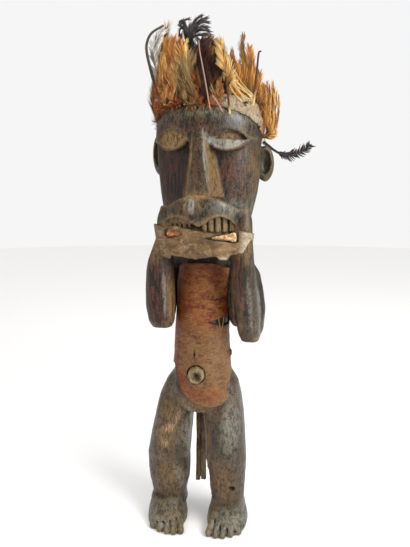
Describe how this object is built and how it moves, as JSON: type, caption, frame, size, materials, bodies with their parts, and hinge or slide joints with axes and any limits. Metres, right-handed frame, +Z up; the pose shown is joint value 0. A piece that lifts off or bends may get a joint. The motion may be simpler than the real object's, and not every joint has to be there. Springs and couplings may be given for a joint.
{
  "type": "carved wooden reliquary figure",
  "caption": "Standing carved wooden figure with hands at its mouth, hide round the trunk, a rawhide band holding bones, a hide tail and a headdress of feathers.",
  "frame": {"origin": "middle of the footprint of the whole figure, feathers included, on the surface that its soles rest on", "axes": "+Z up, -Y the way the face looks, +X to the right of someone who faces it"},
  "size_m": [0.2368, 0.1671, 0.7261],
  "materials": {
    "patinated_wood": "hand-carved wood with a dark, worn patina",
    "trunk_hide": "dried red-brown hide with the hair partly left on",
    "rawhide": "dried tan rawhide",
    "cap_hide": "dried hide with reddish hair",
    "thread": "twisted plant fibre",
    "bone": "dry bone, stained orange in places",
    "quill": "bare feather quills",
    "feather_gold": "golden brown feather",
    "feather_brown": "brown feather",
    "feather_dark": "dark maroon feather",
    "feather_black": "black feather",
    "feather_white": "grey-white feather with a dark quill",
    "feather_cream": "cream and gold feather"
  },
  "bodies": {
    "root": {"carved_figure": "patinated_wood", "torso_hide": "trunk_hide", "tear_lacing": "thread", "mouth_band": "rawhide", "relic_bone_left": "bone", "relic_bone_right": "bone", "hide_tail": "rawhide", "headdress_cap": "cap_hide", "white_feather": "feather_white", "gold_hackle_1": "feather_gold", "gold_hackle_2": "feather_gold", "maroon_hackle": "feather_dark", "gold_hackle_3": "feather_gold", "dark_quill_feather": "feather_dark", "short_quill": "quill", "cream_feather": "feather_cream", "grey_quill": "quill", "black_plume": "feather_black", "brown_feather": "feather_brown", "gold_feather_1": "feather_gold", "gold_feather_2": "feather_gold", "gold_feather_3": "feather_gold", "side_feather_1": "feather_gold", "side_feather_2": "feather_gold", "side_feather_3": "feather_gold", "back_feather_1": "feather_brown", "back_feather_2": "feather_brown", "back_feather_3": "feather_brown", "back_feather_4": "feather_brown", "back_feather_5": "feather_brown", "back_feather_6": "feather_brown", "back_feather_7": "feather_brown", "back_feather_8": "feather_brown", "crown_feather_1": "feather_brown", "crown_feather_2": "feather_brown", "crown_feather_3": "feather_brown", "crown_feather_4": "feather_brown", "ear_plume": "feather_black"}
  },
  "joints": []
}
